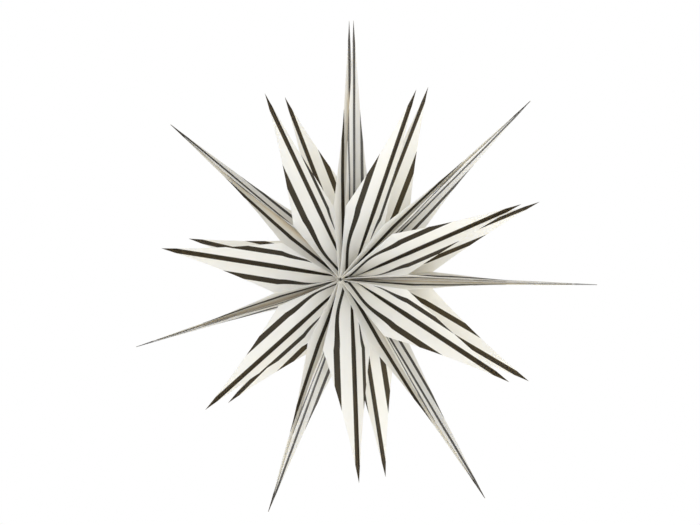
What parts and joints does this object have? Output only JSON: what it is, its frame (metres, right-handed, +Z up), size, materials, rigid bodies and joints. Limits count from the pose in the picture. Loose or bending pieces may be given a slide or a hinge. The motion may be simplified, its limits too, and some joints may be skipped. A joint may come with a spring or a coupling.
{
  "type": "paper snowflake star",
  "caption": "Hanging paper snowflake star: gusseted striped paper bags glued in a stack, cut to points and fanned round to a ring; it folds up flat.",
  "frame": {"origin": "the point that the star hangs from, at the tip of its top point, where the first and last bags meet", "axes": "+Z up; +Y from the front of the star to the back, along the bags' bottom folds; +X to the right as seen from the front"},
  "size_m": [0.5922, 0.079, 0.5828],
  "materials": {
    "panel_paper": "matte",
    "gusset_paper": "matte",
    "glue": "satin",
    "tape": "satin"
  },
  "bodies": {
    "first_panel": {"closing_tape": "tape", "bag_1_panel_a": "panel_paper"},
    "fin_1": {"bag_1_panel_b": "panel_paper", "glue_seam_1_2": "glue", "bag_2_panel_a": "panel_paper"},
    "fin_2": {"bag_2_panel_b": "panel_paper", "glue_seam_2_3": "glue", "bag_3_panel_a": "panel_paper"},
    "fin_3": {"bag_3_panel_b": "panel_paper", "glue_seam_3_4": "glue", "bag_4_panel_a": "panel_paper"},
    "fin_4": {"bag_4_panel_b": "panel_paper", "glue_seam_4_5": "glue", "bag_5_panel_a": "panel_paper"},
    "fin_5": {"bag_5_panel_b": "panel_paper", "glue_seam_5_6": "glue", "bag_6_panel_a": "panel_paper"},
    "fin_6": {"bag_6_panel_b": "panel_paper", "glue_seam_6_7": "glue", "bag_7_panel_a": "panel_paper"},
    "last_panel": {"bag_7_panel_b": "panel_paper"},
    "bag_1_front_gusset_a_half": {"bag_1_front_gusset_a": "gusset_paper"},
    "bag_1_front_gusset_b_half": {"bag_1_front_gusset_b": "gusset_paper"},
    "bag_1_back_gusset_a_half": {"bag_1_back_gusset_a": "gusset_paper"},
    "bag_1_back_gusset_b_half": {"bag_1_back_gusset_b": "gusset_paper"},
    "bag_2_front_gusset_a_half": {"bag_2_front_gusset_a": "gusset_paper"},
    "bag_2_front_gusset_b_half": {"bag_2_front_gusset_b": "gusset_paper"},
    "bag_2_back_gusset_a_half": {"bag_2_back_gusset_a": "gusset_paper"},
    "bag_2_back_gusset_b_half": {"bag_2_back_gusset_b": "gusset_paper"},
    "bag_3_front_gusset_a_half": {"bag_3_front_gusset_a": "gusset_paper"},
    "bag_3_front_gusset_b_half": {"bag_3_front_gusset_b": "gusset_paper"},
    "bag_3_back_gusset_a_half": {"bag_3_back_gusset_a": "gusset_paper"},
    "bag_3_back_gusset_b_half": {"bag_3_back_gusset_b": "gusset_paper"},
    "bag_4_front_gusset_a_half": {"bag_4_front_gusset_a": "gusset_paper"},
    "bag_4_front_gusset_b_half": {"bag_4_front_gusset_b": "gusset_paper"},
    "bag_4_back_gusset_a_half": {"bag_4_back_gusset_a": "gusset_paper"},
    "bag_4_back_gusset_b_half": {"bag_4_back_gusset_b": "gusset_paper"},
    "bag_5_front_gusset_a_half": {"bag_5_front_gusset_a": "gusset_paper"},
    "bag_5_front_gusset_b_half": {"bag_5_front_gusset_b": "gusset_paper"},
    "bag_5_back_gusset_a_half": {"bag_5_back_gusset_a": "gusset_paper"},
    "bag_5_back_gusset_b_half": {"bag_5_back_gusset_b": "gusset_paper"},
    "bag_6_front_gusset_a_half": {"bag_6_front_gusset_a": "gusset_paper"},
    "bag_6_front_gusset_b_half": {"bag_6_front_gusset_b": "gusset_paper"},
    "bag_6_back_gusset_a_half": {"bag_6_back_gusset_a": "gusset_paper"},
    "bag_6_back_gusset_b_half": {"bag_6_back_gusset_b": "gusset_paper"},
    "bag_7_front_gusset_a_half": {"bag_7_front_gusset_a": "gusset_paper"},
    "bag_7_front_gusset_b_half": {"bag_7_front_gusset_b": "gusset_paper"},
    "bag_7_back_gusset_a_half": {"bag_7_back_gusset_a": "gusset_paper"},
    "bag_7_back_gusset_b_half": {"bag_7_back_gusset_b": "gusset_paper"}
  },
  "joints": [
    {"name": "star_fold", "type": "hinge", "parent": "first_panel", "child": "fin_1", "pos_m": [0.00099, 0, -0.30004], "axis": [0, 1, 0], "range_deg": [-45, 0], "deforming": ["bag_1_panel_a", "bag_1_panel_b"]},
    {"name": "bag_2_fold", "type": "hinge", "parent": "fin_1", "child": "fin_2", "pos_m": [0.00227, 0, -0.3014], "axis": [0, 1, 0], "range_deg": [-41.5, 0], "deforming": ["bag_2_panel_a", "bag_2_panel_b"]},
    {"name": "bag_3_fold", "type": "hinge", "parent": "fin_2", "child": "fin_3", "pos_m": [0.00211, 0, -0.30343], "axis": [0, 1, 0], "range_deg": [-54, 0], "deforming": ["bag_3_panel_a", "bag_3_panel_b"]},
    {"name": "bag_4_fold", "type": "hinge", "parent": "fin_3", "child": "fin_4", "pos_m": [0.00023, 0, -0.30466], "axis": [0, 1, 0], "range_deg": [-53, 0], "deforming": ["bag_4_panel_a", "bag_4_panel_b"]},
    {"name": "bag_5_fold", "type": "hinge", "parent": "fin_4", "child": "fin_5", "pos_m": [-0.00179, 0, -0.30389], "axis": [0, 1, 0], "range_deg": [-49.5, 0], "deforming": ["bag_5_panel_a", "bag_5_panel_b"]},
    {"name": "bag_6_fold", "type": "hinge", "parent": "fin_5", "child": "fin_6", "pos_m": [-0.00238, 0, -0.30181], "axis": [0, 1, 0], "range_deg": [-52, 0], "deforming": ["bag_6_panel_a", "bag_6_panel_b"]},
    {"name": "bag_7_fold", "type": "hinge", "parent": "fin_6", "child": "last_panel", "pos_m": [-0.00108, 0, -0.30009], "axis": [0, 1, 0], "range_deg": [-50, 0], "deforming": ["bag_7_panel_a", "bag_7_panel_b"]},
    {"name": "bag_1_front_gusset_a_fold", "type": "hinge", "parent": "first_panel", "child": "bag_1_front_gusset_a_half", "pos_m": [0.00676, -0.04541, -0.22071], "axis": [0.0612, -0.4659, 0.8827], "range_deg": [0, 52.49], "deforming": ["bag_1_front_gusset_a"]},
    {"name": "bag_1_front_gusset_b_fold", "type": "hinge", "parent": "fin_1", "child": "bag_1_front_gusset_b_half", "pos_m": [0.05491, -0.04635, -0.24245], "axis": [-0.6048, 0.4757, -0.6387], "range_deg": [0, 53.39], "deforming": ["bag_1_front_gusset_b"]},
    {"name": "bag_1_back_gusset_a_fold", "type": "hinge", "parent": "first_panel", "child": "bag_1_back_gusset_a_half", "pos_m": [0.00584, 0.04473, -0.22016], "axis": [-0.0266, -0.4504, -0.8924], "range_deg": [0, 47.89], "deforming": ["bag_1_back_gusset_a"]},
    {"name": "bag_1_back_gusset_b_fold", "type": "hinge", "parent": "fin_1", "child": "bag_1_back_gusset_b_half", "pos_m": [0.05357, 0.04698, -0.24194], "axis": [0.5763, 0.4895, 0.6544], "range_deg": [0, 57.62], "deforming": ["bag_1_back_gusset_b"]},
    {"name": "bag_2_front_gusset_a_fold", "type": "hinge", "parent": "fin_1", "child": "bag_2_front_gusset_a_half", "pos_m": [0.06409, -0.04474, -0.25067], "axis": [0.6812, -0.4566, 0.5723], "range_deg": [0, 49.68], "deforming": ["bag_2_front_gusset_a"]},
    {"name": "bag_2_front_gusset_b_fold", "type": "hinge", "parent": "fin_2", "child": "bag_2_front_gusset_b_half", "pos_m": [0.08144, -0.04582, -0.29748], "axis": [-0.8832, 0.468, -0.0316], "range_deg": [0, 50.51], "deforming": ["bag_2_front_gusset_b"]},
    {"name": "bag_2_back_gusset_a_fold", "type": "hinge", "parent": "fin_1", "child": "bag_2_back_gusset_a_half", "pos_m": [0.06378, 0.04893, -0.25501], "axis": [-0.6546, -0.4892, -0.5763], "range_deg": [0, 45.27], "deforming": ["bag_2_back_gusset_a"]},
    {"name": "bag_2_back_gusset_b_fold", "type": "hinge", "parent": "fin_2", "child": "bag_2_back_gusset_b_half", "pos_m": [0.08107, 0.04631, -0.297], "axis": [0.8802, 0.4732, 0.0361], "range_deg": [0, 50.96], "deforming": ["bag_2_back_gusset_b"]},
    {"name": "bag_3_front_gusset_a_fold", "type": "hinge", "parent": "fin_2", "child": "bag_3_front_gusset_a_half", "pos_m": [0.0808, -0.04607, -0.31135], "axis": [0.8678, -0.484, -0.1129], "range_deg": [0, 60.72], "deforming": ["bag_3_front_gusset_a"]},
    {"name": "bag_3_front_gusset_b_fold", "type": "hinge", "parent": "fin_3", "child": "bag_3_front_gusset_b_half", "pos_m": [0.05089, -0.0468, -0.365], "axis": [-0.5533, 0.4875, 0.6754], "range_deg": [0, 60.3], "deforming": ["bag_3_front_gusset_b"]},
    {"name": "bag_3_back_gusset_a_fold", "type": "hinge", "parent": "fin_2", "child": "bag_3_back_gusset_a_half", "pos_m": [0.08019, 0.04671, -0.31232], "axis": [-0.8629, -0.4906, 0.1215], "range_deg": [0, 61.77], "deforming": ["bag_3_back_gusset_a"]},
    {"name": "bag_3_back_gusset_b_fold", "type": "hinge", "parent": "fin_3", "child": "bag_3_back_gusset_b_half", "pos_m": [0.04865, 0.04177, -0.3706], "axis": [0.5624, 0.4581, -0.6884], "range_deg": [0, 62.09], "deforming": ["bag_3_back_gusset_b"]},
    {"name": "bag_4_front_gusset_a_fold", "type": "hinge", "parent": "fin_3", "child": "bag_4_front_gusset_a_half", "pos_m": [0.03763, -0.04608, -0.37432], "axis": [0.3908, -0.4845, -0.7826], "range_deg": [0, 60.59], "deforming": ["bag_4_front_gusset_a"]},
    {"name": "bag_4_front_gusset_b_fold", "type": "hinge", "parent": "fin_4", "child": "bag_4_front_gusset_b_half", "pos_m": [-0.02297, -0.04643, -0.38002], "axis": [0.2453, 0.4826, 0.8408], "range_deg": [0, 58.93], "deforming": ["bag_4_front_gusset_b"]},
    {"name": "bag_4_back_gusset_a_fold", "type": "hinge", "parent": "fin_3", "child": "bag_4_back_gusset_a_half", "pos_m": [0.03751, 0.04633, -0.37422], "axis": [-0.4012, -0.4821, 0.7789], "range_deg": [0, 58.99], "deforming": ["bag_4_back_gusset_a"]},
    {"name": "bag_4_back_gusset_b_fold", "type": "hinge", "parent": "fin_4", "child": "bag_4_back_gusset_b_half", "pos_m": [-0.02495, 0.04467, -0.38061], "axis": [-0.233, 0.4776, -0.8471], "range_deg": [0, 61.44], "deforming": ["bag_4_back_gusset_b"]},
    {"name": "bag_5_front_gusset_a_fold", "type": "hinge", "parent": "fin_4", "child": "bag_5_front_gusset_a_half", "pos_m": [-0.03775, -0.04696, -0.37359], "axis": [-0.4061, -0.4863, -0.7737], "range_deg": [0, 57.79], "deforming": ["bag_5_front_gusset_a"]},
    {"name": "bag_5_front_gusset_b_fold", "type": "hinge", "parent": "fin_5", "child": "bag_5_front_gusset_b_half", "pos_m": [-0.07621, -0.0456, -0.33165], "axis": [0.8236, 0.4713, 0.3154], "range_deg": [0, 55.67], "deforming": ["bag_5_front_gusset_b"]},
    {"name": "bag_5_back_gusset_a_fold", "type": "hinge", "parent": "fin_4", "child": "bag_5_back_gusset_a_half", "pos_m": [-0.0381, 0.04714, -0.3732], "axis": [0.414, -0.4906, 0.7667], "range_deg": [0, 59.17], "deforming": ["bag_5_back_gusset_a"]},
    {"name": "bag_5_back_gusset_b_fold", "type": "hinge", "parent": "fin_5", "child": "bag_5_back_gusset_b_half", "pos_m": [-0.07681, 0.04503, -0.33116], "axis": [-0.8308, 0.464, -0.3075], "range_deg": [0, 54.53], "deforming": ["bag_5_back_gusset_b"]},
    {"name": "bag_6_front_gusset_a_fold", "type": "hinge", "parent": "fin_5", "child": "bag_6_front_gusset_a_half", "pos_m": [-0.08013, -0.04517, -0.31949], "axis": [-0.8643, -0.4685, -0.1829], "range_deg": [0, 56.67], "deforming": ["bag_6_front_gusset_a"]},
    {"name": "bag_6_front_gusset_b_fold", "type": "hinge", "parent": "fin_6", "child": "bag_6_front_gusset_b_half", "pos_m": [-0.06901, -0.04701, -0.26063], "axis": [0.7505, 0.4928, -0.4403], "range_deg": [0, 61.37], "deforming": ["bag_6_front_gusset_b"]},
    {"name": "bag_6_back_gusset_a_fold", "type": "hinge", "parent": "fin_5", "child": "bag_6_back_gusset_a_half", "pos_m": [-0.0797, 0.04622, -0.31782], "axis": [0.861, -0.4838, 0.157], "range_deg": [0, 59.67], "deforming": ["bag_6_back_gusset_a"]},
    {"name": "bag_6_back_gusset_b_fold", "type": "hinge", "parent": "fin_6", "child": "bag_6_back_gusset_b_half", "pos_m": [-0.06874, 0.04628, -0.25904], "axis": [-0.7434, 0.4805, 0.4652], "range_deg": [0, 58.16], "deforming": ["bag_6_back_gusset_b"]},
    {"name": "bag_7_front_gusset_a_fold", "type": "hinge", "parent": "fin_6", "child": "bag_7_front_gusset_a_half", "pos_m": [-0.05665, -0.04805, -0.24605], "axis": [-0.6215, -0.497, 0.6056], "range_deg": [0, 59.84], "deforming": ["bag_7_front_gusset_a"]},
    {"name": "bag_7_front_gusset_b_fold", "type": "hinge", "parent": "last_panel", "child": "bag_7_front_gusset_b_half", "pos_m": [-0.00596, -0.04425, -0.21992], "axis": [0.0655, 0.4577, -0.8867], "range_deg": [0, 54.8], "deforming": ["bag_7_front_gusset_b"]},
    {"name": "bag_7_back_gusset_a_fold", "type": "hinge", "parent": "fin_6", "child": "bag_7_back_gusset_a_half", "pos_m": [-0.06055, 0.0454, -0.24729], "axis": [0.6366, -0.4785, -0.6048], "range_deg": [0, 59.23], "deforming": ["bag_7_back_gusset_a"]},
    {"name": "bag_7_back_gusset_b_fold", "type": "hinge", "parent": "last_panel", "child": "bag_7_back_gusset_b_half", "pos_m": [-0.00734, 0.04564, -0.22093], "axis": [-0.0783, 0.4723, 0.878], "range_deg": [0, 56.09], "deforming": ["bag_7_back_gusset_b"]}
  ],
  "couplings": [
    {"joint": "bag_2_fold", "follows": "star_fold", "ratio": 0.92222},
    {"joint": "bag_3_fold", "follows": "star_fold", "ratio": 1.2},
    {"joint": "bag_4_fold", "follows": "star_fold", "ratio": 1.1778},
    {"joint": "bag_5_fold", "follows": "star_fold", "ratio": 1.1},
    {"joint": "bag_6_fold", "follows": "star_fold", "ratio": 1.1556},
    {"joint": "bag_7_fold", "follows": "star_fold", "ratio": 1.1111},
    {"joint": "bag_1_front_gusset_a_fold", "follows": "star_fold", "ratio": -1.1661},
    {"joint": "bag_1_front_gusset_b_fold", "follows": "star_fold", "ratio": -1.1862},
    {"joint": "bag_1_back_gusset_a_fold", "follows": "star_fold", "ratio": -1.0639},
    {"joint": "bag_1_back_gusset_b_fold", "follows": "star_fold", "ratio": -1.2802},
    {"joint": "bag_2_front_gusset_a_fold", "follows": "star_fold", "ratio": -1.1038},
    {"joint": "bag_2_front_gusset_b_fold", "follows": "star_fold", "ratio": -1.1222},
    {"joint": "bag_2_back_gusset_a_fold", "follows": "star_fold", "ratio": -1.0057},
    {"joint": "bag_2_back_gusset_b_fold", "follows": "star_fold", "ratio": -1.1321},
    {"joint": "bag_3_front_gusset_a_fold", "follows": "star_fold", "ratio": -1.3491},
    {"joint": "bag_3_front_gusset_b_fold", "follows": "star_fold", "ratio": -1.3396},
    {"joint": "bag_3_back_gusset_a_fold", "follows": "star_fold", "ratio": -1.3724},
    {"joint": "bag_3_back_gusset_b_fold", "follows": "star_fold", "ratio": -1.3794},
    {"joint": "bag_4_front_gusset_a_fold", "follows": "star_fold", "ratio": -1.3461},
    {"joint": "bag_4_front_gusset_b_fold", "follows": "star_fold", "ratio": -1.3093},
    {"joint": "bag_4_back_gusset_a_fold", "follows": "star_fold", "ratio": -1.3106},
    {"joint": "bag_4_back_gusset_b_fold", "follows": "star_fold", "ratio": -1.365},
    {"joint": "bag_5_front_gusset_a_fold", "follows": "star_fold", "ratio": -1.284},
    {"joint": "bag_5_front_gusset_b_fold", "follows": "star_fold", "ratio": -1.2368},
    {"joint": "bag_5_back_gusset_a_fold", "follows": "star_fold", "ratio": -1.3147},
    {"joint": "bag_5_back_gusset_b_fold", "follows": "star_fold", "ratio": -1.2114},
    {"joint": "bag_6_front_gusset_a_fold", "follows": "star_fold", "ratio": -1.2591},
    {"joint": "bag_6_front_gusset_b_fold", "follows": "star_fold", "ratio": -1.3635},
    {"joint": "bag_6_back_gusset_a_fold", "follows": "star_fold", "ratio": -1.3257},
    {"joint": "bag_6_back_gusset_b_fold", "follows": "star_fold", "ratio": -1.2922},
    {"joint": "bag_7_front_gusset_a_fold", "follows": "star_fold", "ratio": -1.3294},
    {"joint": "bag_7_front_gusset_b_fold", "follows": "star_fold", "ratio": -1.2175},
    {"joint": "bag_7_back_gusset_a_fold", "follows": "star_fold", "ratio": -1.316},
    {"joint": "bag_7_back_gusset_b_fold", "follows": "star_fold", "ratio": -1.2461}
  ]
}
